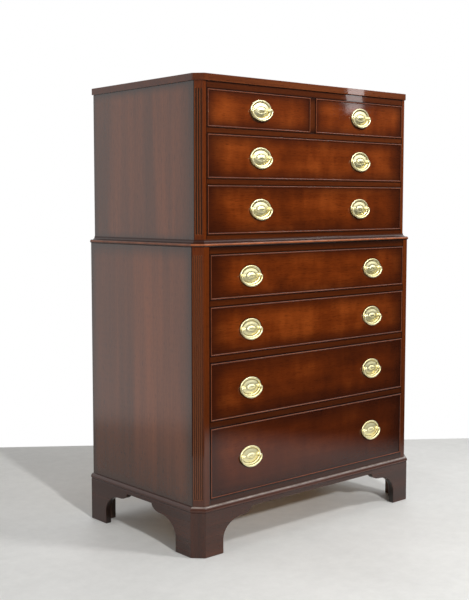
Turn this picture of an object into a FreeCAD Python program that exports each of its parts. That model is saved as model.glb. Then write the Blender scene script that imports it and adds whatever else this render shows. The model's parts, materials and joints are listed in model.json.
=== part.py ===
import FreeCAD, Part
import math
import os

from FreeCAD import Vector

os.makedirs("parts", exist_ok=True)

# A highboy in two cases: the upper case stands on the lower one, and that on a bracket base.
# Millimetres, +X to the right, the drawer fronts face -Y, +Z up.  The origin is on the floor,
# midway across the width and midway between the back and the handles.

# ---- Driving dimensions: base and lower case, from the floor up ----------------------------
base_height = 133.0
lower_bottom_rail = 33.0
lower_openings = (204.5, 168.0, 140.5, 128.5)
lower_rail = 20.0
lower_top_rail = 21.5
lower_width = 952.0
lower_depth = 518.0
lower_cant = 25.0
lower_strip = 22.5              # flat of the corner post between its cant and the drawers
lower_side = 20.0

# ---- Driving dimensions: waist and upper case ----------------------------------------------
waist_board = 11.0
waist_frame_width = 30.0
waist_projection = 3.6
upper_bottom_rail = 23.0
upper_openings = (140.5, 126.0, 107.0)
upper_rail = 17.5
upper_top_rail = 20.5
upper_setback = 12.0            # of the upper case's front behind the lower one's
upper_cant = 19.0
upper_strip = 13.5
upper_side = 19.0

# ---- Driving dimensions: what both cases share ---------------------------------------------
rail_depth = 60.0
back_rail_depth = 50.0
divider_width = 22.0
runner_bearing = 30.0           # how far a runner reaches in under the drawer
guide_height = 18.0
back_panel = 8.0
back_rebate = 10.0
dust_panel = 5.0
tongue = 6.0
tenon_length = 10.0
tenon_shoulder = 12.0

# ---- Driving dimensions: fluted corners ----------------------------------------------------
lower_flutes = 5
lower_flute_radius = 2.0
lower_flute_margin = 4.3        # flat left beside the outermost flutes
upper_flutes = 3
upper_flute_radius = 2.5
upper_flute_margin = 3.8
flute_rise = 0.4                # of the centre of a flute's round outside the face

# ---- Driving dimensions: top board and mouldings -------------------------------------------
top_thickness = 20.0
top_overhang = 6.0
top_cant = 25.0
top_corner_round = 9.0
top_edge_round = 1.6
cove_height = 10.0
cove_width = 7.0
cove_lip = 1.4
base_moulding_height = 15.0
base_moulding_projection = 10.0
base_moulding_nose = 5.0        # top of the upright nose above the base
base_moulding_lip = 1.2
base_moulding_quirk = 2.0

# ---- Driving dimensions: bracket base ------------------------------------------------------
bracket_thickness = 20.0
bracket_projection = 8.5
bracket_ease = 1.5
apron_depth = 13.0
front_foot = 99.0
back_foot = 79.0
bracket_curve_width = 73.0
bracket_straight = 42.0
bracket_lobe_width = 40.0
bracket_lobe_height = 21.5
back_apron_depth = 63.0
back_apron_thickness = 18.0
foot_block = 36.0
foot_block_lift = 4.0

# ---- Driving dimensions: drawers -----------------------------------------------------------
front_thickness = 20.0
front_gap = 1.0                 # round each drawer front
runner_gap = 0.3                # under the drawer's sides
drawer_side = 12.0
drawer_back = 12.0
drawer_bottom = 6.0
drawer_groove = 5.0
bottom_lift = 10.0
side_drop = 6.0                 # from the top of the opening to the top of the drawer's sides
back_drop = 5.0                 # from there to the top of the drawer's back
clearance_behind = 28.0
dovetail_pitch = 38.0
dovetail_flare = 3.0
dovetail_share = 0.62           # of the pitch that a tail takes at its tip
dovetail_shoulder = 8.0
dovetail_lap = 1.0              # of wood between the cock beads and the tails
bead_width = 4.0
bead_proud = 3.0
bead_inset = 7.0
stop_length = 24.0
stop_width = 36.0
stop_clearance = 3.3            # under the drawer's bottom
stop_gap = 0.3

# ---- Driving dimensions: oval bail handles -------------------------------------------------
lower_handle_inset = 157.5      # from the end of the drawer; the upper ones stand under the top row's
lower_handle_rise = (1.0, 0.0, -1.5, -0.5)  # above the middle of each opening, the lowest first
upper_handle_rise = (1.5, 0.5, 4.0)
plate_width = 84.0
plate_height = 59.0
post_inset = 10.25              # from the end of the plate
post_stand = 7.5                # hinge line of the bail in front of the drawer
shank_radius = 2.5
collar_radius = 4.8
collar_seat = 0.5
collar_height = 3.6
neck_radius = 3.2
head_radius = 4.6
head_width = 6.4
nut_across = 9.0
nut_thickness = 3.5
shank_end = 1.5
pin_radius = 1.9
pin_clearance = 0.06
pin_end = 0.5
shoulder_clearance = 0.3
bail_radius = 2.5
bail_drop = 30.2
bail_corner_inside = 1.7

# The plate's stamped relief, from its edge to its oval boss: inset, as a share of half the plate's
# height, and height in millimetres.
plate_relief = (
    (0.0, 0.0), (0.0, 0.7), (0.03, 2.0), (0.08, 2.8), (0.13, 2.2), (0.17, 1.2), (0.26, 1.2),
    (0.29, 2.2), (0.32, 2.5), (0.36, 1.9), (0.39, 1.2), (0.48, 1.8), (0.56, 3.4), (0.66, 4.6), (0.78, 5.2),
)


# ---- Levels and planes that follow from them -----------------------------------------------


def stack(z, openings, rail):
    """The (bottom, top) height of each opening, the lowest first."""
    levels = []
    for height in openings:
        levels.append((z, z + height))
        z += height + rail
    return levels


lower_levels = stack(base_height + lower_bottom_rail, lower_openings, lower_rail)
lower_top = lower_levels[-1][1] + lower_top_rail
upper_bottom = lower_top + waist_board
upper_levels = stack(upper_bottom + upper_bottom_rail, upper_openings, upper_rail)
upper_top = upper_levels[-1][1] + upper_top_rail

half_opening = lower_width / 2 - lower_cant - lower_strip
runner_edge = half_opening - runner_bearing
half_divider = divider_width / 2
apron_height = base_height - apron_depth

post_x = plate_width / 2 - post_inset
bail_shoulder = post_x + head_width / 2 + shoulder_clearance
bail_corner = bail_radius + bail_corner_inside
handle_projection = post_stand + max(bail_radius, head_radius)
y_back = (lower_depth + max(handle_projection, base_moulding_projection)) / 2


class Case:
    """One case: its half width, canted corners, and the planes that its pieces meet."""

    def __init__(self, strip, cant, side, depth, z0, z1, levels):
        self.half = half_opening + strip + cant
        self.inner = self.half - side
        self.front = y_back - depth
        self.cant = cant
        self.z0 = z0
        self.z1 = z1
        self.levels = levels
        self.rail_back = self.front + rail_depth
        self.panel_face = y_back - back_panel

    def rails(self):
        """The (bottom, top) height of each rail, the lowest first."""
        edges = [self.z0] + [z for level in self.levels for z in level] + [self.z1]
        return list(zip(edges[::2], edges[1::2]))

    def path(self):
        """The plan outline, open at the back, from the back left to the back right corner."""
        return canted_path(self.half, self.front, self.cant)


# ---- Small shape makers --------------------------------------------------------------------


def box(x0, x1, y0, y1, z0, z1):
    return Part.makeBox(x1 - x0, y1 - y0, z1 - z0, Vector(x0, y0, z0))


def prism(points, z0, z1):
    """A closed plan outline raised from z0 to z1."""
    corners = [Vector(x, y, z0) for x, y in points]
    face = Part.Face(Part.makePolygon(corners + corners[:1]))
    return face.extrude(Vector(0, 0, z1 - z0))


def side_prism(points, x0, x1):
    """A closed outline in Y and Z, carried across from x0 to x1."""
    corners = [Vector(x0, y, z) for y, z in points]
    face = Part.Face(Part.makePolygon(corners + corners[:1]))
    return face.extrude(Vector(x1 - x0, 0, 0))


def mirrored(solid):
    return solid.mirror(Vector(0, 0, 0), Vector(1, 0, 0))


def pair(solid):
    """A right-hand solid with its left-hand twin before it."""
    return [mirrored(solid), solid]


def cut_all(solid, tools):
    for tool in tools:
        solid = solid.cut(tool)
    return solid.Solids[0]


def save(name, solids):
    shape = solids[0] if len(solids) == 1 else Part.makeCompound(solids)
    shape.exportStep("parts/" + name + ".step")


def canted_path(half, front, cant):
    left = [(-half, y_back), (-half, front + cant), (-half + cant, front)]
    return left + [(-x, y) for x, y in reversed(left)]


def direction(p, q):
    """The length from p to q, the unit direction, and the outward normal on its right."""
    length = math.hypot(q[0] - p[0], q[1] - p[1])
    dx, dy = (q[0] - p[0]) / length, (q[1] - p[1]) / length
    return length, (dx, dy), (dy, -dx)


def mitres(path, closed):
    """How far each corner of a path moves when its stretches move outwards by 1."""
    count = len(path)
    stretches = count if closed else count - 1
    normals = [direction(path[i], path[(i + 1) % count])[2] for i in range(stretches)]
    moves = []
    for i in range(count):
        (ax, ay) = normals[i - 1] if closed or i > 0 else normals[0]
        (bx, by) = normals[i] if i < stretches else normals[-1]
        share = 1 + ax * bx + ay * by
        moves.append(((ax + bx) / share, (ay + by) / share))
    return moves


def offset_path(path, amount):
    """The same open outline, moved outwards all along."""
    return [(x + amount * mx, y + amount * my) for (x, y), (mx, my) in zip(path, mitres(path, False))]


def mitred_strips(path, profile, closed=False):
    """One solid for each straight stretch of a path, cut to a mitre at each corner.

    The profile is a list of edges in X, outwards from the path, and Y, upwards."""
    face = Part.Face(Part.Wire(profile))
    bounds = face.BoundBox
    moves = mitres(path, closed)
    count = len(path)
    spare = bounds.XLength + bounds.YLength
    strips = []
    for i in range(count if closed else count - 1):
        j = (i + 1) % count
        length, (dx, dy), (nx, ny) = direction(path[i], path[j])
        start_x, start_y = path[i][0] - dx * spare, path[i][1] - dy * spare
        bar = face.copy()
        bar.Placement = FreeCAD.Placement(
            FreeCAD.Matrix(nx, 0, -dx, start_x, ny, 0, -dy, start_y, 0, 1, 0, 0, 0, 0, 0, 1)
        )
        bar = bar.extrude(Vector(dx, dy, 0) * (length + 2 * spare))
        plan = []
        for corner, reach in ((i, bounds.XMin), (i, bounds.XMax), (j, bounds.XMax), (j, bounds.XMin)):
            (x, y), (mx, my) = path[corner], moves[corner]
            plan.append((x + mx * reach, y + my * reach))
        strips.append(bar.common(prism(plan, bounds.YMin - 1, bounds.YMax + 1)).Solids[0])
    return strips


def line(x0, y0, x1, y1):
    return Part.makeLine(Vector(x0, y0, 0), Vector(x1, y1, 0))


def outline(*points):
    """Straight edges through points in X and Y."""
    return [line(*a, *b) for a, b in zip(points, points[1:])]


def round_edge(x0, y0, mid_x, mid_y, x1, y1):
    return Part.Arc(Vector(x0, y0, 0), Vector(mid_x, mid_y, 0), Vector(x1, y1, 0)).toShape()


def ellipse_edge(x, y, a, b, start, end):
    """Part of an ellipse round (x, y), between two angles in degrees."""
    circle = Part.makeCircle(1, Vector(0, 0, 0), Vector(0, 0, 1), start, end)
    return circle.transformGeometry(FreeCAD.Matrix(a, 0, 0, x, 0, b, 0, y, 0, 0, 1, 0, 0, 0, 0, 1))


def rod(radius, start, end):
    """A cylinder between two points."""
    return Part.makeCylinder(radius, (end - start).Length, start, end - start)


# ---- Cases: side boards, fluted corner posts, rails and backs ------------------------------

lower = Case(lower_strip, lower_cant, lower_side, lower_depth, base_height, lower_top, lower_levels)
upper = Case(
    upper_strip, upper_cant, upper_side, lower_depth - upper_setback, upper_bottom, upper_top, upper_levels
)


def side_board(case):
    """The right side board, rebated for the back."""
    board = box(case.inner, case.half, case.front + case.cant, y_back, case.z0, case.z1)
    rebate = box(case.inner, case.inner + back_rebate, case.panel_face, y_back, case.z0, case.z1)
    return board.cut(rebate).Solids[0]


def corner_post(case, rails, flutes, radius, margin):
    """The right corner post: mortised for the rails, with stopped flutes on its canted face."""
    corner = case.front + case.cant
    post = prism(
        [
            (case.half, corner), (case.inner, corner), (case.inner, case.rail_back),
            (half_opening, case.rail_back), (half_opening, case.front),
            (case.half - case.cant, case.front),
        ],
        case.z0, case.z1,
    )
    post = cut_all(post, rails)
    low = case.levels[0][0] + radius
    high = case.levels[-1][1] - radius
    diagonal = math.sqrt(0.5)
    outermost = case.cant / 2 / diagonal - margin - radius
    for i in range(flutes):
        along = outermost * (2 * i / (flutes - 1) - 1)
        x = case.half - case.cant / 2 + (along + flute_rise) * diagonal
        y = case.front + case.cant / 2 + (along - flute_rise) * diagonal
        post = post.cut(rod(radius, Vector(x, y, low), Vector(x, y, high)))
        for z in (low, high):
            post = post.cut(Part.makeSphere(radius, Vector(x, y, z)))
    return post.Solids[0]


def back_board(case):
    reach = case.inner + back_rebate
    return box(-reach, reach, case.panel_face, y_back, case.z0, case.z1)


def front_rail(case, z0, z1):
    """A rail between the corner posts, tenoned into them at both ends."""
    third = (z1 - z0) / 3
    reach = half_opening + tenon_length
    y0, y1 = case.front + tenon_shoulder, case.rail_back - tenon_shoulder
    rail = box(-half_opening, half_opening, case.front, case.rail_back, z0, z1)
    return rail.fuse(box(-reach, reach, y0, y1, z0 + third, z1 - third)).removeSplitter()


def web_frame(case, z0, z1, centre):
    """One level of the framing: its front rail, its runners and back rail, and its dust panels."""
    back_rail = case.panel_face - back_rail_depth
    runners = pair(box(runner_edge, case.inner, case.rail_back, case.panel_face, z0, z1))
    runners.append(box(-runner_edge, runner_edge, back_rail, case.panel_face, z0, z1))
    low = (z0 + z1 - dust_panel) / 2
    y0, y1 = case.rail_back - tongue, back_rail + tongue
    reach = runner_edge + tongue
    panels = [box(-reach, reach, y0, y1, low, low + dust_panel)]
    if centre:
        half = half_divider + runner_bearing
        runners.append(box(-half, half, case.rail_back, back_rail, z0, z1))
        panels = pair(box(half - tongue, reach, y0, y1, low, low + dust_panel))
    front = cut_all(front_rail(case, z0, z1), panels)
    return front, [cut_all(runner, panels) for runner in runners], panels


def framing(case, centre_rail):
    """All front rails, runners and dust panels of a case; one rail also carries a centre runner."""
    fronts, runners, panels = [], [], []
    for i, (z0, z1) in enumerate(case.rails()):
        front, level_runners, level_panels = web_frame(case, z0, z1, i == centre_rail)
        fronts.append(front)
        runners += level_runners
        panels += level_panels
    return fronts, runners, panels


def guides(case):
    """Strips on the runners that keep each drawer straight, behind the corner posts."""
    strips = []
    for z0, _ in case.levels:
        guide = box(half_opening, case.inner, case.rail_back, case.panel_face, z0, z0 + guide_height)
        strips += pair(guide)
    return strips


small_low, small_high = upper_levels[-1]
divider = box(-half_divider, half_divider, upper.front, upper.rail_back, small_low, small_high)
centre_guide = box(
    -half_divider, half_divider, upper.rail_back, upper.panel_face, small_low, small_low + guide_height
)

upper_fronts, upper_runners, upper_panels = framing(upper, len(upper_levels) - 1)
lower_fronts, lower_runners, lower_panels = framing(lower, None)

upper_post = corner_post(upper, upper_fronts, upper_flutes, upper_flute_radius, upper_flute_margin)
lower_post = corner_post(lower, lower_fronts, lower_flutes, lower_flute_radius, lower_flute_margin)

for name, case, post in (("upper", upper, upper_post), ("lower", lower, lower_post)):
    board = side_board(case)
    save(name + "_side_right", [board])
    save(name + "_side_left", [mirrored(board)])
    save(name + "_corner_post_right", [post])
    save(name + "_corner_post_left", [mirrored(post)])
    save(name + "_back", [back_board(case)])

save("upper_front_rails", upper_fronts + [divider])
save("upper_runners", upper_runners)
save("lower_front_rails", lower_fronts)
save("lower_runners", lower_runners)
save("dust_panels", upper_panels + lower_panels)
save("drawer_guides", guides(upper) + [centre_guide] + guides(lower))

# ---- Top board -----------------------------------------------------------------------------


def top_board():
    """The top, its canted corners softened and its long edges eased."""
    path = canted_path(upper.half + top_overhang, upper.front - top_overhang, top_cant)
    board = prism(path, upper_top, upper_top + top_thickness)
    uprights = [
        e for e in board.Edges if e.BoundBox.ZLength > top_thickness / 2 and e.BoundBox.YMax < y_back - 1
    ]
    board = board.makeFillet(top_corner_round, uprights)
    rims = [e for e in board.Edges if e.BoundBox.ZLength < 1e-6 and e.BoundBox.YMin < y_back - 1]
    return board.makeFillet(top_edge_round, rims)


save("top_board", [top_board()])

# ---- Mouldings -----------------------------------------------------------------------------


def waist_strips():
    """Bullnosed boards that cap the lower case, and the strip that closes them at the back."""
    radius = waist_board / 2
    centre = waist_projection - radius
    low, high = lower_top, lower_top + waist_board
    profile = outline((centre, high), (-waist_frame_width, high), (-waist_frame_width, low), (centre, low))
    profile.append(round_edge(centre, low, waist_projection, low + radius, centre, high))
    reach = lower.half - waist_frame_width
    back = box(-reach, reach, y_back - waist_frame_width, y_back, low, high)
    return mitred_strips(lower.path(), profile) + [back]


def cove_strips():
    """A small hollow moulding round the foot of the upper case."""
    low, high = upper_bottom, upper_bottom + cove_height
    hollow_x = cove_width - (cove_width - cove_lip) * math.sqrt(0.5)
    hollow_y = high - (cove_height - cove_lip) * math.sqrt(0.5)
    profile = outline((cove_lip, high), (0, high), (0, low), (cove_width, low), (cove_width, low + cove_lip))
    profile.append(round_edge(cove_width, low + cove_lip, hollow_x, hollow_y, cove_lip, high))
    return mitred_strips(upper.path(), profile)


def base_strips():
    """The moulding over the bracket base: a quirk, an upright nose and a quarter round."""
    low, high = base_height, base_height + base_moulding_height
    out = base_moulding_projection
    quirk_x, quirk_z = out - base_moulding_quirk, low + base_moulding_quirk
    nose = low + base_moulding_nose
    reach, rise = out - base_moulding_lip, high - nose
    bulge_x = base_moulding_lip + reach * math.sqrt(0.5)
    bulge_z = nose + rise * math.sqrt(0.5)
    profile = outline(
        (base_moulding_lip, high), (0, high), (0, low), (quirk_x, low), (quirk_x, quirk_z),
        (out, quirk_z), (out, nose),
    )
    profile.append(round_edge(out, nose, bulge_x, bulge_z, base_moulding_lip, high))
    return mitred_strips(lower.path(), profile)


save("waist_moulding", waist_strips() + cove_strips())
save("base_moulding", base_strips())

# ---- Bracket base --------------------------------------------------------------------------


def scallop(length, first_foot, last_foot):
    """The gap under a board of a given length, as a face in X along the board and Z.

    Beside each foot it rises straight, then in a hollow quarter, and then round a hanging lobe."""
    shoulder = apron_height - bracket_lobe_height
    hollow = shoulder - bracket_straight
    first, last = first_foot + bracket_curve_width, length - last_foot - bracket_curve_width
    edges = [
        ellipse_edge(first, bracket_straight, bracket_curve_width, hollow, 90, 180),
        ellipse_edge(first, apron_height, bracket_lobe_width, bracket_lobe_height, 270, 360),
        ellipse_edge(last, apron_height, bracket_lobe_width, bracket_lobe_height, 180, 270),
        ellipse_edge(last, bracket_straight, bracket_curve_width, hollow, 0, 90),
    ]
    edges += outline((first + bracket_lobe_width, apron_height), (last - bracket_lobe_width, apron_height))
    edges += outline(
        (length - last_foot, bracket_straight), (length - last_foot, -1), (first_foot, -1),
        (first_foot, bracket_straight),
    )
    face = Part.Face(Part.Wire(Part.__sortEdges__(edges)))
    face.rotate(Vector(0, 0, 0), Vector(1, 0, 0), 90)
    return face


def bracket_boards():
    """Side, cant, front, cant and side boards of the base, scalloped between the feet."""
    out, depth = bracket_projection, bracket_projection - bracket_thickness
    profile = outline(
        (depth, 0), (out - bracket_ease, 0), (out, bracket_ease), (out, base_height - bracket_ease),
        (out - bracket_ease, base_height), (depth, base_height), (depth, 0),
    )
    left, cant_left, front, cant_right, right = mitred_strips(lower.path(), profile)
    half_width = lower.half + out
    front_plane = lower.front - out
    deep = 2 * bracket_thickness

    front_gap_tool = scallop(2 * half_width, front_foot, front_foot).extrude(Vector(0, deep, 0))
    front_gap_tool.translate(Vector(-half_width, front_plane - bracket_thickness / 2, 0))
    front = front.cut(front_gap_tool).Solids[0]

    side_gap_tool = scallop(y_back - front_plane, front_foot, back_foot).extrude(Vector(0, deep, 0))
    side_gap_tool.rotate(Vector(0, 0, 0), Vector(0, 0, 1), 90)
    side_gap_tool.translate(Vector(half_width + bracket_thickness / 2, front_plane, 0))
    right = right.cut(side_gap_tool).Solids[0]
    left = left.cut(mirrored(side_gap_tool)).Solids[0]

    reach = half_width - bracket_thickness
    back_low = base_height - back_apron_depth
    back = box(-reach, reach, y_back - back_apron_thickness, y_back, back_low, base_height)
    return [left, cant_left, front, cant_right, right, back]


def foot_blocks():
    """Glue blocks in the angles of the four feet."""
    inside = offset_path(lower.path(), bracket_projection - bracket_thickness)
    room = prism(inside, foot_block_lift, base_height)
    (side_x, _), (_, front_y) = inside[-1], inside[2]
    x0 = side_x - foot_block
    front = room.common(box(x0, side_x, front_y, front_y + foot_block, 0, base_height)).Solids[0]
    back_y = y_back - back_apron_thickness
    back = box(x0, side_x, back_y - foot_block, back_y, foot_block_lift, base_height)
    return pair(front) + pair(back)


save("bracket_base", bracket_boards())
save("foot_blocks", foot_blocks())

# ---- Handles -------------------------------------------------------------------------------


def handle_plate():
    """An oval stamped plate, centred on the origin against the plane y = 0."""
    rings = []
    for share, height in plate_relief:
        inset = share * plate_height / 2
        ring = Part.Ellipse(Vector(0, 0, height), plate_width / 2 - inset, plate_height / 2 - inset)
        rings.append(Part.Wire(ring.toShape()))
    plate = Part.makeLoft(rings, True, True)
    plate.rotate(Vector(0, 0, 0), Vector(1, 0, 0), 90)
    return plate


def handle_post(x):
    """A post: shank through the drawer front, collar on the plate, neck and drilled head."""
    tail = front_thickness + nut_thickness + shank_end
    post = rod(shank_radius, Vector(x, tail, 0), Vector(x, -collar_seat, 0))
    post = post.fuse(rod(collar_radius, Vector(x, -collar_seat, 0), Vector(x, -collar_height, 0)))
    post = post.fuse(rod(neck_radius, Vector(x, -collar_height, 0), Vector(x, -post_stand, 0)))
    head = Part.makeSphere(head_radius, Vector(x, -post_stand, 0))
    half = head_width / 2
    front, back = -post_stand - head_radius, -post_stand + head_radius
    post = post.fuse(head.common(box(x - half, x + half, front, back, -head_radius, head_radius)))
    hole = rod(pin_radius + pin_clearance, Vector(x - half, -post_stand, 0), Vector(x + half, -post_stand, 0))
    return post.cut(hole).removeSplitter().Solids[0]


def handle_nut(x, post):
    """The hexagonal nut on a post's shank, behind the drawer front."""
    corner = nut_across / 2 / math.cos(math.pi / 6)
    angles = [math.pi / 3 * i for i in range(7)]
    points = [
        Vector(x + corner * math.cos(a), front_thickness, corner * math.sin(a)) for a in angles
    ]
    nut = Part.Face(Part.makePolygon(points)).extrude(Vector(0, nut_thickness, 0))
    return nut.cut(post).Solids[0]


def handle_bail():
    """The bail: pins that turn in the posts' heads, and a round bar that hangs as a flat oval."""
    side = bail_shoulder + bail_corner
    drop = bail_drop - bail_corner
    end_round = drop ** 2 / side
    end_x, end_y = side - end_round, -bail_corner
    bottom_round = (end_x ** 2 + drop ** 2 - end_round ** 2) / (2 * (drop - end_round))
    low_y = -bail_drop + bottom_round
    lean = math.atan2(end_y - low_y, end_x)
    join_x, join_y = bottom_round * math.cos(lean), low_y + bottom_round * math.sin(lean)
    turn = math.sqrt(0.5)
    corner = (bail_shoulder + bail_corner * turn, -bail_corner + bail_corner * turn)
    halfway = (end_x + end_round * math.cos(lean / 2), end_y + end_round * math.sin(lean / 2))
    right = [
        round_edge(join_x, join_y, *halfway, side, -bail_corner),
        round_edge(side, -bail_corner, *corner, bail_shoulder, 0),
    ]
    left = [mirrored(edge) for edge in right]
    middle = round_edge(-join_x, join_y, 0, -bail_drop, join_x, join_y)
    path = Part.Wire(Part.__sortEdges__(left + [middle] + right))
    path.rotate(Vector(0, 0, 0), Vector(1, 0, 0), 90)
    ring = Part.makeCircle(bail_radius, Vector(bail_shoulder, 0, 0), Vector(1, 0, 0))
    bail = path.makePipeShell([Part.Wire(ring)], True, True)
    inner = post_x - head_width / 2 - pin_end
    for side_sign in (-1, 1):
        start = Vector(side_sign * inner, 0, 0)
        bail = bail.fuse(rod(pin_radius, start, Vector(side_sign * (bail_shoulder + bail_radius), 0, 0)))
    bail = bail.removeSplitter().Solids[0]
    bail.translate(Vector(0, -post_stand, 0))
    return bail


posts = [handle_post(x) for x in (-post_x, post_x)]
nuts = [handle_nut(x, post) for x, post in zip((-post_x, post_x), posts)]
plate = cut_all(handle_plate(), posts)
bail = handle_bail()


def placed(solid, x, y, z):
    moved = solid.copy()
    moved.translate(Vector(x, y, z))
    return moved


# ---- Drawers -------------------------------------------------------------------------------


def cock_beads(x0, x1, y, z0, z1):
    """Four mitred strips let into the edges of a drawer front and standing proud of it."""
    radius = bead_width / 2
    nose = bead_proud - radius
    profile = outline((0, nose), (0, -bead_inset), (-bead_width, -bead_inset), (-bead_width, nose))
    profile.append(round_edge(-bead_width, nose, -radius, bead_proud, 0, nose))
    strips = mitred_strips([(x0, z0), (x1, z0), (x1, z1), (x0, z1)], profile, closed=True)
    for strip in strips:
        strip.rotate(Vector(0, 0, 0), Vector(1, 0, 0), 90)
        strip.translate(Vector(0, y, 0))
    return strips


def dovetailed_side(x0, y_tail, y_body, y_end, z0, z1, tail_low, tail_high):
    """A drawer side with its tails at the front, in half-blind sockets of the drawer front."""
    span = tail_high - tail_low
    count = max(2, round(span / dovetail_pitch))
    step = span / count
    tip = step * dovetail_share / 2
    root = tip - dovetail_flare
    points = [(y_body, z0), (y_end, z0), (y_end, z1), (y_body, z1)]
    for i in reversed(range(count)):
        z = tail_low + (i + 0.5) * step
        points += [(y_body, z + root), (y_tail, z + tip), (y_tail, z - tip), (y_body, z - root)]
    return side_prism(points, x0, x0 + drawer_side)


def drawer(number, case, x0, x1, z0, z1, handles):
    """A drawer in the opening from (x0, z0) to (x1, z1); handles gives each handle's name, x and z."""
    name = "drawer_{}_".format(number)
    left, right = x0 + front_gap, x1 - front_gap
    low, high = z0 + front_gap, z1 - front_gap
    y_body = case.front + front_thickness
    y_tail = case.front + bead_inset + dovetail_lap
    y_end = case.panel_face - clearance_behind
    side_low, side_high = z0 + runner_gap, z1 - side_drop
    floor_low = side_low + bottom_lift
    floor_high = floor_low + drawer_bottom
    inner_left, inner_right = left + drawer_side, right - drawer_side
    floor = box(
        inner_left - drawer_groove, inner_right + drawer_groove, y_body - drawer_groove, y_end,
        floor_low, floor_high,
    )
    sides = []
    for x in (left, inner_right):
        side = dovetailed_side(
            x, y_tail, y_body, y_end, side_low, side_high,
            low + dovetail_shoulder, side_high - dovetail_shoulder,
        )
        sides.append(side.cut(floor).Solids[0])
    back = box(inner_left, inner_right, y_end - drawer_back, y_end, floor_high, side_high - back_drop)
    beads = cock_beads(left, right, case.front, low, high)
    shanks, plates_and_nuts = [], []
    for handle, x, z in handles:
        shanks += [placed(post, x, case.front, z) for post in posts]
        plates_and_nuts += [placed(piece, x, case.front, z) for piece in [plate] + nuts]
        save(name + handle, [placed(bail, x, case.front, z)])
    board = box(left, right, case.front, y_body, low, high)
    board = cut_all(board, beads + sides + [floor] + shanks)
    save(name + "front", [board] + beads)
    save(name + "box", sides + [back, floor])
    save(name + "handle_plates", plates_and_nuts + shanks)


upper_handle_x = (half_divider + half_opening) / 2
lower_handle_x = half_opening - lower_handle_inset

small_handle_z = (small_low + small_high) / 2 + upper_handle_rise[-1]
for number, x0, x1 in ((1, -half_opening, -half_divider), (2, half_divider, half_opening)):
    drawer(number, upper, x0, x1, small_low, small_high, [("bail", (x0 + x1) / 2, small_handle_z)])

wide_drawers = [(lower, level, lower_handle_x, rise) for level, rise in zip(lower_levels, lower_handle_rise)]
wide_drawers += [
    (upper, level, upper_handle_x, rise) for level, rise in zip(upper_levels[:-1], upper_handle_rise)
]
for number, (case, (z0, z1), handle_x, rise) in enumerate(reversed(wide_drawers), 3):
    z = (z0 + z1) / 2 + rise
    handles = [("bail_left", -handle_x, z), ("bail_right", handle_x, z)]
    drawer(number, case, -half_opening, half_opening, z0, z1, handles)

# ---- Drawer stops --------------------------------------------------------------------------


def drawer_stops(case, x0, x1, z0):
    """Two blocks on the rail, which stop a drawer's front flush with the case."""
    y = case.front + front_thickness + stop_gap
    top = z0 + runner_gap + bottom_lift - stop_clearance
    quarter = (x1 - x0) / 4
    return [
        box(x - stop_width / 2, x + stop_width / 2, y, y + stop_length, z0, top)
        for x in (x0 + quarter, x1 - quarter)
    ]


stops = drawer_stops(upper, -half_opening, -half_divider, small_low)
stops += drawer_stops(upper, half_divider, half_opening, small_low)
for case, levels in ((upper, upper_levels[:-1]), (lower, lower_levels)):
    for z0, _ in levels:
        stops += drawer_stops(case, -half_opening, half_opening, z0)
save("drawer_stops", stops)
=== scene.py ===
import json
import math

import bmesh
import bpy
import numpy as np
from mathutils import Matrix, Vector

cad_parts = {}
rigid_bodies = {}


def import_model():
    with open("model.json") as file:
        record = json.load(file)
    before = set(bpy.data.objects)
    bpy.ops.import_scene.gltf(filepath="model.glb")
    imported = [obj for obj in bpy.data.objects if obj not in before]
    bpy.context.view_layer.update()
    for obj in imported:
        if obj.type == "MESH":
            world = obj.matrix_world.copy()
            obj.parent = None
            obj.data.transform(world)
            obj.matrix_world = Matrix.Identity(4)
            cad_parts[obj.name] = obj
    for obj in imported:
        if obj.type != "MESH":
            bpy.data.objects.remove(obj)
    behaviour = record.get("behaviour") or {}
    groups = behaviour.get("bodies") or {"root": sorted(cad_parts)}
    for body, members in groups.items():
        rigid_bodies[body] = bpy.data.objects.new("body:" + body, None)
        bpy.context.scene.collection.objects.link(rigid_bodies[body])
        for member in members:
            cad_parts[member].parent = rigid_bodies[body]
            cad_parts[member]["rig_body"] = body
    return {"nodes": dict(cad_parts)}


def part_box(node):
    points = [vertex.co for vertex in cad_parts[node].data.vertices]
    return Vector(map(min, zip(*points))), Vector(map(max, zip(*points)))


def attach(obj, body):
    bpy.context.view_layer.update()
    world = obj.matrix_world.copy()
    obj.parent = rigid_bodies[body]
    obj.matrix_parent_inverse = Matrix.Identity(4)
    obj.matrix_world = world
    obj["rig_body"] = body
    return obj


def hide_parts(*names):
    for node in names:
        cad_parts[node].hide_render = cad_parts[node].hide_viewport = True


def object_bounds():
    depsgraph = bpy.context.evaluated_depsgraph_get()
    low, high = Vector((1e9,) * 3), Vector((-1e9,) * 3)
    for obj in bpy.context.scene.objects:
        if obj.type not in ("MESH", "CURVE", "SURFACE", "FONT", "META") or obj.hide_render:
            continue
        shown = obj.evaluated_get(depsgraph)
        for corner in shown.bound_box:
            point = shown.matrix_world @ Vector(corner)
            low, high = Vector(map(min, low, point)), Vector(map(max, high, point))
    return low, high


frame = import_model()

cad_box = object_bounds()
scene = bpy.context.scene
scene.view_settings.view_transform = "Standard"

# ---- The view ------------------------------------------------------------------------------
# The chest is seen from about three metres off, in front of its left corner and at the height of
# the upper drawers, through a long lens.  Metres; the drawers face -Y and +Z is up.

heading, dip, tilt = 0.693772, 0.082572, -0.003741      # radians: +Y to +X, down, about the axis
back_plane = cad_box[1].y
eye = Vector((-2.30159, back_plane - 2.65996, 1.00401))
frame_width, frame_height = 469, 600
axis_across, axis_down = 185.0, 290.0                   # where the lens axis meets the frame
focal = 1013.35                                         # on the same scale as the frame

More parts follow.
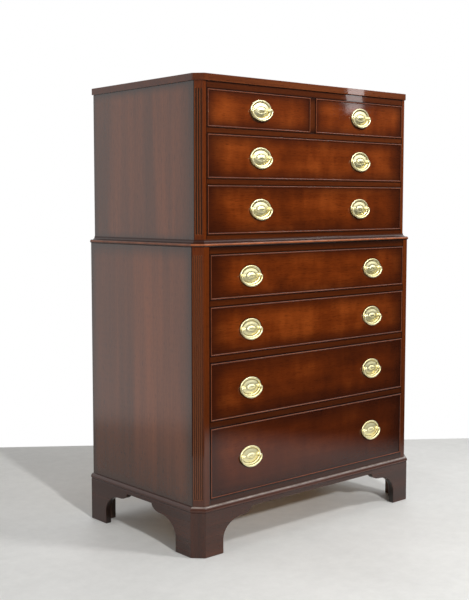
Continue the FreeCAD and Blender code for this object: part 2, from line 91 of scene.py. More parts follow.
ahead = Vector((math.sin(heading), math.cos(heading), 0))
forward = math.cos(dip) * ahead - math.sin(dip) * Vector((0, 0, 1))
level = Vector((math.cos(heading), -math.sin(heading), 0))
upright = level.cross(forward)
right = math.cos(tilt) * level + math.sin(tilt) * upright
up = math.cos(tilt) * upright - math.sin(tilt) * level

camera = bpy.data.objects.new("camera", bpy.data.cameras.new("camera"))
camera.data.sensor_width = 36
camera.data.lens = camera.data.sensor_width * focal / frame_height
camera.data.shift_x = (frame_width / 2 - axis_across) / frame_height
camera.data.shift_y = (axis_down - frame_height / 2) / frame_height
camera.matrix_world = Matrix.Translation(eye) @ Matrix((right, up, -forward)).transposed().to_4x4()
scene.collection.objects.link(camera)
scene.camera = camera

# ---- The room ------------------------------------------------------------------------------
# A white wall behind and to the left lights the chest softly; the side that the drawers face is
# dim, more so near the floor.  Two lamps stand in front, a near one shining steeply and a far one
# shining lower; a ceiling panel and a narrow strip light on the right show in the polish.


def screen(red, green, blue):
    """A screen colour made linear: ((c + 0.055) / 1.055) ** 2.4, or c / 12.92 when dark."""
    c = np.array((red, green, blue)) / 255
    linear = np.where(c > 0.04045, ((c + 0.055) / 1.055) ** 2.4, c / 12.92)
    return (*linear.tolist(), 1.0)


class Tone:
    """A socket in a material's or the room's nodes; arithmetic on tones adds Math nodes."""

    def __init__(self, tree, socket=None):
        self.tree = tree
        self.socket = socket

    def node(self, kind, settings, sockets, out=0):
        """Adds a node: its settings are made first, then its sockets are set or linked."""
        made = self.tree.nodes.new("ShaderNode" + kind)
        for name, value in settings.items():
            if name == "stops":
                elements = made.color_ramp.elements
                elements.remove(elements[1])
                elements[0].position, elements[0].color = value[0]
                for place, colour in value[1:]:
                    elements.new(place).color = colour
            else:
                setattr(made, name, value)
        for name, value in sockets.items():
            if isinstance(value, Tone):
                self.tree.links.new(value.socket, made.inputs[name])
            else:
                made.inputs[name].default_value = value
        return Tone(self.tree, made.outputs[out] if made.outputs else None)

    def math(self, operation, first, second=0.0):
        """One Math node."""
        return self.node("Math", {"operation": operation}, {0: first, 1: second})

    def __add__(self, other):
        return self.math("ADD", self, other)

    def __sub__(self, other):
        return self.math("SUBTRACT", self, other)

    def __rsub__(self, other):
        return self.math("SUBTRACT", other, self)

    def __mul__(self, other):
        return self.math("MULTIPLY", self, other)

    def __truediv__(self, other):
        return self.math("DIVIDE", self, other)

    def __pow__(self, other):
        return self.math("POWER", self, other)

    def __abs__(self):
        return self.math("ABSOLUTE", self)

    __radd__ = __add__
    __rmul__ = __mul__

    def between(self, low, high):
        """0 below low, 1 above high, and a smooth step from one to the other."""
        settings = {"interpolation_type": "SMOOTHSTEP"}
        return self.node("MapRange", settings, {"Value": self, "From Min": low, "From Max": high})

    def blend(self, first, second):
        """The first colour where this tone is 0, the second where it is 1."""
        return self.node("Mix", {"data_type": "RGBA"}, {0: self, 6: first, 7: second}, 2)


room = bpy.data.worlds.new("room")
room.use_nodes = True
room.node_tree.nodes.clear()
air = Tone(room.node_tree)
toward = air.node("TexCoord", {}, {}, "Generated")
height = air.node("SeparateXYZ", {}, {"Vector": toward}, "Z")


def facing(x, y, z):
    """The cosine between a direction into the room and (x, y, z)."""
    aim = Vector((x, y, z)).normalized()
    return air.node("VectorMath", {"operation": "DOT_PRODUCT"}, {0: toward, 1: aim}, "Value")


wall = facing(-0.45, 0.89, 0).between(-0.45, 0.5)
dim_side = 0.02 + 0.40 * height.between(-0.05, 0.5)
soft = dim_side + (1 - dim_side) * wall
ceiling = facing(0.70, -0.15, 0.70).between(0.68, 0.97)
fill = 0.50                                             # share of the soft light on matt surfaces
camera_sees, glass_passes, gloss_sees = (
    air.node("LightPath", {}, {}, f"Is {kind} Ray") for kind in ("Camera", "Transmission", "Glossy")
)
mirrored = soft + 1.4 * ceiling
lit = air.node("Mix", {"data_type": "FLOAT"}, {0: gloss_sees, 2: fill * soft, 3: mirrored})
lit = air.node("Mix", {"data_type": "FLOAT"}, {0: camera_sees + glass_passes, 2: lit, 3: 1.0})
sky = air.node("Background", {}, {"Color": (1, 1, 1, 1), "Strength": lit})
air.node("OutputWorld", {}, {"Surface": sky})
scene.world = room


def lamp(name, x, y, z, distance, width, tall, power):
    """A soft lamp at a distance from the middle of the chest in the direction (x, y, z)."""
    aim = Vector((x, y, z)).normalized()
    data = bpy.data.lights.new(name, "AREA")
    data.shape = "RECTANGLE"
    data.size, data.size_y = width, tall
    data.energy = power
    made = bpy.data.objects.new(name, data)
    turned = aim.to_track_quat("Z", "Y").to_matrix().to_4x4()
    made.matrix_world = Matrix.Translation(Vector((0, 0, 0.7)) + distance * aim) @ turned
    scene.collection.objects.link(made)


lamp("high_lamp", 0.241, -0.682, 0.690, 2.6, 0.36, 0.36, 26.0)
lamp("low_lamp", -0.287, -0.890, 0.354, 5.0, 0.25, 0.25, 146.0)
lamp("ceiling_panel", 0.64, -0.06, 0.75, 3.0, 0.5, 0.5, 6.0)
lamp("strip_light", 0.708, -0.632, 0.313, 3.67, 0.10, 0.55, 0.9)

# ---- The floor -----------------------------------------------------------------------------
# Pale painted concrete with faint clouds and scuffs.  Its far edge runs a little askew behind the
# chest, and it fades out on the right, so the lowest drawer mirrors little of it.

floor_normal = Vector((0.5861, 0.8102, 0))
floor_run = Vector((0.8102, -0.5861, 0))
floor_far = floor_normal.y * back_plane + 0.7140
floor_near, floor_left, floor_right = -1.6, -1.95, 1.6

floor_mesh = bpy.data.meshes.new("floor")
near, far = floor_normal * floor_near, floor_normal * floor_far
left, right = floor_run * floor_left, floor_run * floor_right
floor_mesh.from_pydata([near + left, near + right, far + right, far + left], [], [(0, 1, 2, 3)])
floor = bpy.data.objects.new("floor", floor_mesh)
scene.collection.objects.link(floor)


def surface(name):
    """A new material and a tone in its empty node tree."""
    made = bpy.data.materials.new(name)
    made.use_nodes = True
    made.node_tree.nodes.clear()
    return made, Tone(made.node_tree)


def patches(start, scale, detail, roughness):
    """Cloudy noise on a piece's own place, with scale clouds in a metre."""
    place = start.node("TexCoord", {}, {}, "Object")
    sockets = {"Vector": place, "Scale": scale, "Detail": detail, "Roughness": roughness}
    return start.node("TexNoise", {}, sockets)


concrete, start = surface("concrete")
place = start.node("TexCoord", {}, {}, "Object")
clouds = patches(start, 1.6, 6.0, 0.6)
scuffs = patches(start, 24.0, 8.0, 0.75)
cover = 0.5 + (clouds - 0.5) * 0.9 + (scuffs - 0.5) * 0.7
paint = [(0.0, screen(219, 219, 216)), (1.0, screen(255, 255, 252))]
colour = start.node("ValToRGB", {"stops": paint}, {"Fac": cover})
run = start.node("VectorMath", {"operation": "DOT_PRODUCT"}, {0: place, 1: floor_run}, "Value")
look = {"Base Color": colour, "Roughness": 0.55, "Alpha": 1 - run.between(1.03, 1.55)}
start.node("OutputMaterial", {}, {"Surface": start.node("BsdfPrincipled", {}, look)})
floor_mesh.materials.append(concrete)

# ---- Bracket base --------------------------------------------------------------------------
# Five mahogany boards, mitred at the canted corners and sawn to a scalloped outline, and a plain
# back apron, with glue blocks behind the feet.  The lower case is screwed down on it.


def boards_of(node):
    """A node's boards: its merged corners, its triangles, and the board that each corner is on.

    The triangles of one board follow one another, and a board is whole where every edge so far has
    met its twin, so the running count of open edges (+1 at the first of a pair, -1 at the second)
    is 0 at its last triangle."""
    mesh = frame["nodes"][node].data
    corners = np.empty(len(mesh.vertices) * 3)
    mesh.vertices.foreach_get("co", corners)
    corners = corners.reshape(-1, 3)
    triangles = np.empty(len(mesh.loops), np.int64)
    mesh.loops.foreach_get("vertex_index", triangles)
    grid = np.round(corners * 1e6).astype(np.int64)
    spots = np.unique(grid, axis=0, return_inverse=True)[1].reshape(-1)[triangles].reshape(-1, 3)
    following = np.roll(spots, -1, axis=1)
    edges = np.minimum(spots, following).ravel() * spots.size + np.maximum(spots, following).ravel()
    holder = np.repeat(np.arange(len(spots)), 3)
    order = np.lexsort((holder, edges))
    rank = np.arange(edges.size)
    first = np.r_[True, np.diff(edges[order]) != 0]
    second = (rank - np.maximum.accumulate(np.where(first, rank, 0))) % 2 == 1
    change = np.zeros(len(spots), np.int64)
    np.add.at(change, holder[order], np.where(second, -1, 1))
    whole = np.cumsum(change) == 0
    board = np.r_[0, np.cumsum(whole)[:-1]]
    keys = np.c_[np.repeat(board, 3), grid[triangles]]
    keep, index, inverse = np.unique(keys, axis=0, return_index=True, return_inverse=True)
    return corners[triangles[index]], inverse.reshape(-1, 3), keep[:, 0]


luck = np.random.default_rng(54)                        # moves the grain of each board
flute_depth = 0.0021                                    # of the deepest in the corner posts


def along_grain(points, way):
    """Unit vectors along a board's grain, across it and through it.

    The grain runs along the longest side of the board's box, or straight up (way "upright").  In a
    moulding ("plan"), it runs along the main axis of its corners' spread in X and Y."""
    if way == "plan":
        spread = np.linalg.svd(points[:, :2] - points[:, :2].mean(0))[2][0]
        run = np.array((*spread, 0.0))
    elif way == "upright":
        run = np.array((0.0, 0.0, 1.0))
    else:
        run = np.eye(3)[np.argmax(np.ptp(points, axis=0))]
    rise = np.array((0.0, 0.0, 1.0)) if abs(run[2]) < 0.5 else np.array((0.0, 1.0, 0.0))
    return np.array((run, rise, np.cross(run, rise)))


def finished(node, woods, ease, way="longest"):
    """A node's boards with eased edges, each with a grain of its own.

    A corner's attribute grain is its distance along, across and through its board, moved by a
    chance amount for each board; span is its place from the middle of the board in X, Y and Z,
    and half the size of the board's box.  Its attribute hollow is 1 at the bottom of a flute: its
    depth behind the canted face, over the depth of a flute."""
    corners, triangles, board = boards_of(node)
    grain, span, half = (np.empty_like(corners) for _ in range(3))
    behind = corners[:, 1] - abs(corners[:, 0])
    behind = (behind - behind.min()) / math.sqrt(2)
    hollow = np.where((behind > 0.0001) & (behind < flute_depth + 0.0003), behind / flute_depth, 0)
    for number in range(board.max() + 1):
        own = board == number
        points = corners[own]
        low, high = points.min(0), points.max(0)
        grain[own] = points @ along_grain(points, way).T + luck.uniform(1, 9, 3)
        span[own] = points - (low + high) / 2
        half[own] = (high - low) / 2
    mesh = bpy.data.meshes.new(node + "_finished")
    mesh.from_pydata(corners, [], triangles)
    for name, values in (("grain", grain), ("span", span), ("half", half)):
        attribute = mesh.attributes.new(name, "FLOAT_VECTOR", "POINT")
        attribute.data.foreach_set("vector", values.ravel())
    attribute = mesh.attributes.new("hollow", "FLOAT", "POINT")
    attribute.data.foreach_set("value", hollow * ("post" in node))
    for material in woods:
        mesh.materials.append(material)
    of_face = np.minimum(board[triangles[:, 0]], len(woods) - 1)
    mesh.polygons.foreach_set("material_index", of_face.astype(np.int32))
    shape = bmesh.new()
    shape.from_mesh(mesh)
    bmesh.ops.dissolve_limit(
        shape, angle_limit=0.01, verts=shape.verts, edges=shape.edges, delimit={"MATERIAL"},
    )
    shape.to_mesh(mesh)
    shape.free()
    mesh.polygons.foreach_set("use_smooth", np.ones(len(mesh.polygons), bool))
    piece = bpy.data.objects.new(node + "_finished", mesh)
    scene.collection.objects.link(piece)
    bevel = piece.modifiers.new("eased_edges", "BEVEL")
    bevel.width = ease
    bevel.segments = 2
    bevel.limit_method = "ANGLE"
    bevel.angle_limit = math.radians(30)
    piece.modifiers.new("flat_faces_stay_flat", "WEIGHTED_NORMAL")
    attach(piece, frame["nodes"][node]["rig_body"])
    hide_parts(node)


def part_of(start, name, axis):
    """The X, Y or Z part of a piece's attribute, or of its place when the name is Object."""
    if name == "Object":
        whole = start.node("TexCoord", {}, {}, "Object")
    else:
        whole = start.node("Attribute", {"attribute_name": name}, {}, "Vector")
    return start.node("SeparateXYZ", {}, {"Vector": whole}, axis)


def wood(
    name, tones, bands, fibre, mottle=0.0, width=26.0, pores=0.5, gloss=0.05, shine=0.5,
    coat=0.0, waxed=False, dull_from=None, shading=None,
):
    """A wood whose pattern is stretched along each board's grain, with open pores, under lacquer.

    tones are its dark, middle and light colours; bands, fibre and mottle are how far slow bands
    (width of them in a metre), fine streaks and bars across the grain move the colour.  pores is
    the colour's share of dark in a pore, gloss the least roughness, shine and coat the strength of
    the polish and of a second layer on it.  Flutes that are waxed hold dull dark wax, and faces
    above dull_from (metres) have lost their shine.  shading adds stain, wear, painted shade and
    painted highlights to the colour."""
    made, start = surface(name)
    grain = start.node("Attribute", {"attribute_name": "grain"}, {}, "Vector")

    def noise(along, across, detail, shift=0.0):
        """Noise with so many cycles in a metre along the grain and across it, from -1 to 1."""
        stretch = {"Vector": grain, "Scale": (along, across, across), "Location": (shift, 0, 0)}
        sockets = {"Vector": start.node("Mapping", {}, stretch), "Scale": 1.0, "Detail": detail}
        sockets.update({"Roughness": 0.55, "Distortion": 0.15})
        return 4 * start.node("TexNoise", {}, sockets) - 2

    slow = noise(0.9, width, 2.0)
    fine = noise(4.0, 210.0, 3.0, 5.0)
    tone = 0.5 + bands * slow + fibre * fine
    if mottle:
        tone = tone + 0.5 * mottle * noise(24.0, 9.0, 2.0, 9.0) + mottle * noise(6.0, 9.0, 2.0, 3.0)
    colour = start.node("ValToRGB", {"stops": list(zip((0.0, 0.5, 1.0), tones))}, {"Fac": tone})
    pore = noise(55.0, 1300.0, 0.0, 2.0).between(0.5, 0.9) * pores
    colour = pore.blend(colour, tuple(0.35 * c for c in tones[0][:3]) + (1.0,))
    if shading:
        colour = shading(start, colour)
    rough = gloss + 0.02 * fine + 0.05 * pore
    if dull_from:
        rough = rough + 0.3 * part_of(start, "Object", "Z").between(dull_from, dull_from + 0.0004)
    height = noise(3.0, 40.0, 2.0, 7.0) - 0.5 * pore
    bump = start.node("Bump", {}, {"Height": height, "Strength": 0.05, "Distance": 0.0001})
    look = {"Base Color": colour, "Roughness": rough, "Normal": bump, "Specular IOR Level": shine}
    if coat:
        look.update({"Coat Weight": coat, "Coat Roughness": 0.2})
    lacquered = start.node("BsdfPrincipled", {}, look)
    if waxed:
        hollow = start.node("Attribute", {"attribute_name": "hollow"}, {}, "Fac")
        matt = {"Base Color": screen(38, 30, 25), "Roughness": 0.8, "Specular IOR Level": 0.1}
        wax = start.node("BsdfPrincipled", {}, matt)
        filled = 0.95 * hollow.between(0.45, 0.9)
        lacquered = start.node("MixShader", {}, {0: filled, 1: lacquered, 2: wax})
    start.node("OutputMaterial", {}, {"Surface": lacquered})
    return made


def inset(start, axis):
    """The way in from the faces of a board's box, over half its size: 1 - |place| / half."""
    return 1 - abs(part_of(start, "span", axis)) / part_of(start, "half", axis)


def base_shading(start, colour):
    """Painted shade: the apron under the moulding is darker than the feet, the inner faces darkest.
    """
    front_board = part_of(start, "half", "X").between(0.3, 0.4)
    side_board = part_of(start, "half", "Y").between(0.2, 0.25)
    # Painted shadow under the base moulding, on the apron between the front feet.
    apron = part_of(start, "Object", "Z").between(0.05, 0.11) * front_board
    colour = (0.4 * apron).blend(colour, screen(22, 13, 10))
    # Painted shade on the boards' inner faces, under the chest.
    inner_side_shade = inset(start, "X").between(0.03, 0.2) * side_board
    inner_front_shade = inset(start, "Y").between(0.03, 0.2) * front_board
    return (0.85 * (inner_side_shade + inner_front_shade)).blend(colour, screen(14, 9, 7))


base_wood = wood(
    "base_mahogany", [screen(32, 17, 12), screen(63, 32, 20), screen(94, 49, 31)],
    0.25, 0.05, shading=base_shading,
)
# Painted shade: the glue blocks and the back apron stand in shadow under the chest and are coloured
# dark.
shade_dark_blocks = wood(
    "blocks_darkened_for_shade", [screen(34, 22, 14), screen(52, 34, 22), screen(70, 48, 32)],
    0.2, 0.1, gloss=0.6,
)
finished("bracket_base", [base_wood] * 5 + [shade_dark_blocks], 0.0012)
finished("foot_blocks", [shade_dark_blocks], 0.0006)

# ---- Base moulding -------------------------------------------------------------------------
# Five strips of mahogany, each a quarter round over an upright nose, mitred at the corners and
# glued round the foot of the lower case.  Along the top of the front ones lie dust and a painted
# highlight.


def sheen_band(low, high, share, side_share, sheen_colour):
    """A painted highlight that lightens a moulding between two heights, unevenly, and less at the
    sides.
    """

    def shading(start, colour):
        height = part_of(start, "Object", "Z")
        above = height.between(low - 0.0015, low + 0.0010)
        band = above * (1 - height.between(high - 0.0010, high + 0.0010))
        amount = share - (share - side_share) * part_of(start, "half", "Y").between(0.05, 0.1)
        uneven = 0.5 + 0.5 * patches(start, 30.0, 4.0, 0.7).between(0.3, 0.7)
        return (amount * uneven * band).blend(colour, sheen_colour)

    return shading


# Painted highlight mixed with dust along the top of the quarter round.
dust_and_sheen_wood = wood(
    "base_moulding_mahogany", [screen(40, 21, 15), screen(70, 35, 22), screen(98, 52, 34)],
    0.12, 0.05, shading=sheen_band(0.1455, 0.1510, 0.55, 0.0, screen(196, 184, 174)),
)
finished("base_moulding", [dust_and_sheen_wood], 0.0004, way="plan")

# ---- Lower and upper case ------------------------------------------------------------------
# Veneered side boards and fluted corner posts, joined by rails tenoned into the posts; runners,
# guides, stops and dust panels of plain wood carry the drawers.


def post_shading(start, colour):
    """Flute lips get painted highlight; stain darkens edges; painted shade darkens the gap and
    lower ends.
    """
    hollow = start.node("Attribute", {"attribute_name": "hollow"}, {}, "Fac")
    # Painted highlight on the lips of the flutes, with some wear.
    lip_highlight = hollow.between(0.0, 0.1) * (1 - hollow.between(0.4, 0.6))
    # Painted shade in the gap beside the drawers.
    gap_shade = 1 - abs(part_of(start, "Object", "X")).between(0.4295, 0.4330)
    colour = (0.9 * gap_shade).blend(colour, screen(16, 8, 6))
    colour = (0.85 - 0.85 * inset(start, "X").between(0.02, 0.12)).blend(colour, screen(16, 8, 6))
    # Painted shade: darker towards the floor, where the light falls off.
    low = 0.55 - 0.55 * part_of(start, "Object", "Z").between(0.1, 0.85)
    return (0.6 * lip_highlight).blend(low.blend(colour, screen(26, 14, 9)), screen(184, 118, 74))


def rim_shading(reaches, share, rim_colour):
    """A shading that darkens a board towards the edges of its box.

    The board keeps its colour where its inset is above the second number of each axis's reach."""

    def shading(start, colour):
        clean = 1.0
        for axis, (low, high) in reaches.items():
            clean = inset(start, axis).between(low, high) * clean
        return ((1 - clean) * share).blend(colour, rim_colour)

    return shading


post_wood = wood(
    "post_mahogany", [screen(54, 21, 8), screen(102, 45, 14), screen(143, 71, 26)],
    0.10, 0.10, waxed=True, shading=post_shading,
)
side_rim = rim_shading({"Y": (-0.04, 0.14), "Z": (-0.04, 0.14)}, 0.85, screen(34, 24, 16))


def side_shading(start, colour):
    """The sides are darker along their edges, and painted shade darkens them near the floor."""
    # Painted shade: darker near the floor.
    low = 0.5 - 0.5 * part_of(start, "Object", "Z").between(0.1, 0.42)
    return side_rim(start, low.blend(colour, screen(30, 18, 12)))


side_wood = wood(
    "side_veneer", [screen(62, 38, 23), screen(106, 57, 31), screen(152, 81, 40)],
    0.30, 0.06, width=12.0, gloss=0.15, coat=0.35, shading=side_shading,
)
# Painted shade along the rails' edges, where beads and gaps shade them.
rail_edge_shade = rim_shading({"Z": (-0.1, 0.5)}, 0.92, screen(18, 9, 7))


def rail_shading(start, colour):
    """Painted shade lies along the rails' edges and under the waist nose, and darkens the lowest
    most.
    """
    height = part_of(start, "Object", "Z")
    # Painted shade: darker towards the floor.
    low = 0.6 - 0.6 * height.between(0.1, 0.75)
    # Painted shadow of the waist nose on the rail below it.
    waist_shadow = height.between(0.870, 0.884) * (1 - height.between(0.890, 0.892))
    return rail_edge_shade(start, (low + 0.7 * waist_shadow).blend(colour, screen(24, 14, 10)))


rail_wood = wood(
    "rail_mahogany", [screen(40, 16, 7), screen(80, 35, 12), screen(112, 56, 22)],
    0.14, 0.10, gloss=0.02, shine=0.35, shading=rail_shading,
)
poplar = wood(
    "poplar", [screen(150, 118, 74), screen(186, 156, 108), screen(206, 180, 134)],
    0.2, 0.1, pores=0.1, gloss=0.6,
)
plywood = wood(
    "plywood", [screen(150, 112, 70), screen(180, 142, 96), screen(202, 168, 122)],
    0.25, 0.08, pores=0.2, gloss=0.65,
)
for case in ("lower", "upper"):
    for hand in ("left", "right"):
        finished(f"{case}_side_{hand}", [side_wood], 0.0004, way="upright")
        finished(f"{case}_corner_post_{hand}", [post_wood], 0.0004)
    finished(f"{case}_front_rails", [rail_wood], 0.0005)
    finished(f"{case}_runners", [poplar], 0.0008)
    finished(f"{case}_back", [plywood], 0.0005)
finished("dust_panels", [plywood], 0.0003)
finished("drawer_guides", [poplar], 0.0008)
finished("drawer_stops", [poplar], 0.0008)

# ---- Waist moulding ------------------------------------------------------------------------
# Mahogany capping boards with a round nose lie on the lower case, and a small cove moulding
# stands on them round the foot of the upper case.  Both are mitred at the corners and glued.

# Painted highlight along the middle of the nose.
nose_highlight = sheen_band(0.8935, 0.8980, 0.85, 0.6, screen(184, 108, 68))


def waist_shading(start, colour):
    """Painted shade fills the cove and lies under the round nose, whose middle gets a painted
    highlight.
    """
    height = part_of(start, "Object", "Z")
    front = 1 - 0.8 * part_of(start, "half", "Y").between(0.05, 0.1)
    # Painted shade in the cove and a painted shadow under the nose.
    cove = height.between(0.8992, 0.9005) * (1 - height.between(0.9060, 0.9080))
    underside = 1 - height.between(0.8915, 0.8935)
    painted_shade = front * (0.3 * cove + 0.85 * underside)
    return nose_highlight(start, painted_shade.blend(colour, screen(18, 9, 6)))


waist_wood = wood(
    "waist_mahogany", [screen(36, 15, 7), screen(66, 30, 13), screen(98, 50, 22)],
    0.12, 0.08, shine=0.3, shading=waist_shading,
)
finished("waist_moulding", [waist_wood], 0.0003, way="plan")

# ---- Top board -----------------------------------------------------------------------------
# One mahogany board with canted front corners and softened edges, screwed down from inside the
# upper case.  Its edges keep their polish, and its upper face has gone dull with use.

top_wood = wood(
    "top_mahogany", [screen(54, 24, 11), screen(93, 44, 19), screen(130, 69, 33)],
    0.16, 0.12, gloss=0.02, dull_from=1.3714,
)
finished("top_board", [top_wood], 0.0003)

# ---- Drawers -------------------------------------------------------------------------------
# The fronts are faced with figured mahogany and framed by cock beads that stand proud of them.
# The sides are poplar, dovetailed into the fronts, and the floors plywood, slid into grooves.

lower_handle_out, upper_handle_out = 0.271, 0.21975     # from the middle of the chest
plate_half_width, plate_half_height = 0.042, 0.0295
plate_shadow_reach = 0.0005                                    # how far the painted shadow round a plate reaches
stain_rim = rim_shading({"X": (-0.06, 0.23), "Z": (-0.28, 0.72)}, 0.9, screen(36, 14, 8))


def front_shading(start, colour):
    """The stain gathers along the edges of each front; painted shade darkens the lowest drawers
    most.

    A painted shadow lies round the plates, a little low: where the distance from a plate's middle,
    over its half width and half height, is a little more than 1."""
    height, across = part_of(start, "Object", "Z"), part_of(start, "Object", "X")
    # Painted shade: darker towards the floor and the right, where the light falls off.
    low = 0.78 - 0.78 * (height - 0.15 * across).between(0.05, 0.80)
    colour = stain_rim(start, low.blend(colour, screen(44, 17, 8)))
    upper_case = height.between(0.89, 0.90)
    handle_out = lower_handle_out - (lower_handle_out - upper_handle_out) * upper_case
    # Painted shadow round each plate, lower than its middle.
    off_x = (abs(across) - handle_out) / (plate_half_width + plate_shadow_reach)
    off_z = (part_of(start, "span", "Z") + 0.0015) / (plate_half_height + plate_shadow_reach)
    distance = (off_x * off_x + off_z * off_z) ** 0.5
    return (0.85 - 0.85 * distance.between(0.98, 1.16)).blend(colour, screen(24, 10, 6))


front_wood = wood(
    "drawer_veneer", [screen(67, 26, 8), screen(106, 44, 12), screen(145, 68, 23)],
    0.12, 0.06, mottle=0.28, shine=0.35, shading=front_shading,
)


def bead_shading(start, colour):
    """A cock bead's flanks, 1 mm and more back from its nose, are painted dark as shade."""
    depth = part_of(start, "span", "Y") + part_of(start, "half", "Y")
    return (0.94 * depth.between(0.0004, 0.0018)).blend(colour, screen(14, 7, 5))


# The beads' lighter tones are partly a painted highlight on their noses.
bead_wood = wood(
    "bead_mahogany", [screen(52, 24, 14), screen(108, 54, 30), screen(156, 94, 58)],
    0.1, 0.12, shine=0.35, shading=bead_shading,
)
for number in range(1, 9):
    finished(f"drawer_{number}_front", [front_wood, bead_wood], 0.0003)
    finished(f"drawer_{number}_box", [poplar, poplar, poplar, plywood], 0.0008)

# ---- Handles -------------------------------------------------------------------------------
# Each handle is an oval plate stamped from thin brass, two cast posts that pass through it and
# the drawer front to hexagonal nuts inside, and a bail whose pins turn in the posts' heads.

post_across, post_stand = 0.03175, 0.0075               # from the plate's middle, and off the front
bar_radius, pin_radius = 0.0025, 0.0019
front_board, shank_reach = 0.020, 0.025                 # a front's thickness, and a shank's length


def skin(rings):
    """Vertices and faces of a grid of rings, shape (rings, points of a ring, 3)."""
    count, around = rings.shape[:2]
    low = np.arange((count - 1) * around).reshape(count - 1, around)
    side = np.roll(low, -1, axis=1)
    faces = np.stack((low, side, side + around, low + around), axis=-1).reshape(-1, 4)
    return rings.reshape(-1, 3), faces


def stamped_plate():
    """An oval plate's rings, and how deep each lies in a groove, from 0 to 1, with painted rim
    shade.

    The plate's half width is a and its half height b.  Each ring is an oval at a growing inset d
    from the edge, a - d (1 + d / 4b) across and b - d up in half, raised by the relief's height
    (millimetres) at d / b; pearls ripple the dome and petals the boss on it."""
    share = np.array((
        0, 0, .01, .03, .05, .07, .095, .12, .14, .16, .18, .20, .23, .26, .29, .32, .34, .36, .38,
        .40, .42, .45, .48, .52, .56, .60, .64, .67, .70, .72, .74, .765, .79, .82, .85, .88, .92,
        .96, 1.0,
    ))
    relief = np.array((
        (0, .7), (.03, 1.9), (.07, 2.5), (.12, 2.5), (.16, 2.3), (.20, 1.6), (.23, .9), (.26, .7),
        (.30, .8), (.36, 1.2), (.44, 1.9), (.52, 2.6), (.60, 3.1), (.65, 3.2), (.70, 2.8),
        (.75, 3.2), (.80, 4.0), (.86, 4.8), (.93, 5.4), (1.0, 5.7),
    ))
    height = np.interp(share, *relief.T)
    height[0] = 0
    share = np.r_[1.0, 0.5, share]
    height = np.r_[0.0, 0.0, height] / 1000
    turn = np.linspace(0, 2 * np.pi, 144, endpoint=False)
    inset = share[:, None] * plate_half_height
    x = (plate_half_width - inset * (1 + share[:, None] / 4)) * np.cos(turn)
    z = (plate_half_height - inset) * np.sin(turn)
    pearls = 0.0002 * np.exp(-((share[:, None] - 0.58) / 0.04) ** 2) * np.cos(48 * turn)
    petals = 0.0003 * np.exp(-((share[:, None] - 0.80) / 0.06) ** 2) * np.cos(16 * turn)
    groove = np.exp(-((share - 0.25) / 0.05) ** 2) + 0.5 * np.exp(-((share - 0.70) / 0.025) ** 2)
    # Painted shade: the plate's outer rim is darkened like the grooves.
    groove += np.exp(-(share / 0.03) ** 2)
    front = np.arange(len(share)) > 3
    rise = height[:, None] + front[:, None] * (pearls + petals)
    return np.stack((x, -rise, z), axis=-1)[:, ::-1], groove * front


def turned_post(x):
    """A profile turned about Y: shank, collar, waisted neck, and a ball flattened for the pins."""
    polar = np.linspace(2.45, 0.0, 12)
    ball_y, ball_r = -post_stand - 0.0046 * np.cos(polar), 0.0046 * np.sin(polar)
    y = np.r_[shank_reach, shank_reach, 0.0, 0.0, -0.0018, -0.0026, -0.0030, -0.0036, ball_y]
    r = np.r_[0.0, 0.0025, 0.0025, 0.0048, 0.0048, 0.0044, 0.0034, 0.0029, ball_r]
    turn = np.linspace(0, 2 * np.pi, 32, endpoint=False)
    across = r[:, None] * np.cos(turn)
    across = np.where(y[:, None] < -0.0042, np.clip(across, -0.0032, 0.0032), across)
    return np.stack((x + across, y[:, None] + 0 * across, r[:, None] * np.sin(turn)), axis=-1)


def hexagonal_nut(x):
    """Rings of a hexagon, a / cos(t mod 60 - 30) from the middle, chamfered at the outer face."""
    turn = np.linspace(0, 2 * np.pi, 36, endpoint=False)
    reach = 0.0045 / np.cos((turn % (np.pi / 3)) - np.pi / 6)
    y = front_board + np.array((0.0, 0.0, 0.0030, 0.0035, 0.0035))
    outer = np.minimum(reach, 0.0047)
    out = np.stack((0 * reach + 0.002, reach, reach, outer, 0 * reach + 0.0025))
    rings = np.stack((x + out * np.cos(turn), y[:, None] + 0 * out, out * np.sin(turn)), axis=-1)
    return rings[::-1]


def arc(x, z, radius, start, end, count):
    """Points on a circle round (x, z), between two angles in radians."""
    turn = np.linspace(start, end, count)
    return np.stack((x + radius * np.cos(turn), z + radius * np.sin(turn)), axis=-1)


def bail_rings():
    """A round bar along pin, corner, end arc and bottom arc, and the same mirrored.

    At a point with unit direction (u, v), the ring's points are r cos t (-v, u) in X and Z, and
    r sin t in Y; r grows from the pins to the middle of the bottom."""
    shoulder, corner, drop = 0.03525, 0.0042, 0.0302
    side, fall = shoulder + corner, drop - corner
    end_radius = fall ** 2 / side
    end_x = side - end_radius
    bottom_radius = (end_x ** 2 + fall ** 2 - end_radius ** 2) / (2 * (fall - end_radius))
    low_z = -drop + bottom_radius
    lean = math.atan2(-corner - low_z, end_x)
    half = np.concatenate((
        np.stack((np.linspace(post_across - 0.0037, shoulder, 6), np.zeros(6)), axis=-1),
        arc(shoulder, -corner, corner, np.pi / 2, 0, 9)[1:],
        arc(end_x, -corner, end_radius, 0, lean, 14)[1:],
        arc(0, low_z, bottom_radius, lean, -np.pi / 2, 16)[1:],
    ))
    line = np.concatenate((half, half[-2::-1] * (-1, 1)))
    step = np.gradient(line, axis=0)
    step /= np.linalg.norm(step, axis=1)[:, None]
    radius = bar_radius + 0.0005 * (line[:, 1] / -drop).clip(0, 1) ** 2
    on_pin = abs(line[:, 0]) < shoulder - 0.0005
    radius = np.where(on_pin & (line[:, 1] > -0.001), pin_radius, radius)
    radius[[0, -1]] = 0
    turn = np.linspace(0, 2 * np.pi, 24, endpoint=False)
    spread = radius[:, None] * np.cos(turn)
    x = line[:, :1] - step[:, 1:] * spread
    z = line[:, 1:] + step[:, :1] * spread
    return np.stack((x, radius[:, None] * np.sin(turn), z), axis=-1)


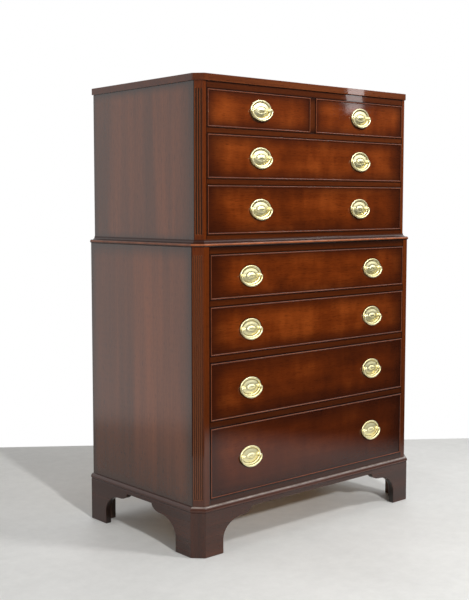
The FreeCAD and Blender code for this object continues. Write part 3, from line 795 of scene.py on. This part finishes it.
brass, start = surface("lacquered_brass")
tarnish = (patches(start, 260.0, 4.0, 0.6) + patches(start, 60.0, 3.0, 0.6)).between(0.95, 1.35)
recess = start.node("Attribute", {"attribute_name": "recess"}, {}, "Fac")
colour = tarnish.blend(screen(255, 248, 202), screen(240, 228, 164))
# Patina in the grooves, and painted shade at the plate's outer rim.
colour = (0.85 * recess.between(0.1, 0.9)).blend(colour, screen(150, 124, 52))
rough = 0.42 + 0.08 * tarnish
scratches = patches(start, 1400.0, 2.0, 0.5)
bump = start.node("Bump", {}, {"Height": scratches, "Strength": 0.2, "Distance": 0.0001})
look = {"Base Color": colour, "Metallic": 1.0, "Roughness": rough, "Normal": bump}
start.node("OutputMaterial", {}, {"Surface": start.node("BsdfPrincipled", {}, look)})


def cast(name, parts, body, node):
    """One brass piece made of grids of rings, with its seams closed and its faces outwards.

    Each part is its rings and each ring's groove patina and painted rim shade, its attribute."""
    points, faces, recess, count = [], [], [], 0
    for rings, groove in parts:
        own_points, own_faces = skin(rings)
        points.append(own_points)
        faces.append(own_faces + count)
        recess.append(np.repeat(groove + np.zeros(len(rings)), rings.shape[1]))
        count += len(own_points)
    mesh = bpy.data.meshes.new(name)
    mesh.from_pydata(np.concatenate(points), [], np.concatenate(faces))
    attribute = mesh.attributes.new("recess", "FLOAT", "POINT")
    attribute.data.foreach_set("value", np.concatenate(recess))
    shape = bmesh.new()
    shape.from_mesh(mesh)
    bmesh.ops.remove_doubles(shape, verts=shape.verts, dist=1e-6)
    bmesh.ops.recalc_face_normals(shape, faces=shape.faces)
    shape.to_mesh(mesh)
    shape.free()
    mesh.polygons.foreach_set("use_smooth", np.ones(len(mesh.polygons), bool))
    mesh.materials.append(brass)
    piece = bpy.data.objects.new(name, mesh)
    scene.collection.objects.link(piece)
    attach(piece, body)
    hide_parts(node)


bail = bail_rings()
fixings = [stamped_plate()]
for make in (turned_post, hexagonal_nut):
    fixings += [(make(x), 0) for x in (-post_across, post_across)]
for number in range(1, 9):
    parts = []
    for node in [n for n in frame["nodes"] if n.startswith(f"drawer_{number}_bail")]:
        low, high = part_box(node)
        hinge = np.array(((low.x + high.x) / 2, (low.y + high.y) / 2, high.z - bar_radius))
        cast(node + "_bar", [(bail + hinge, 0)], frame["nodes"][node]["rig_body"], node)
        parts += [(rings + hinge + (0, post_stand, 0), groove) for rings, groove in fixings]
    drawer = f"drawer_{number}"
    cast(drawer + "_stamped_plates", parts, drawer, drawer + "_handle_plates")
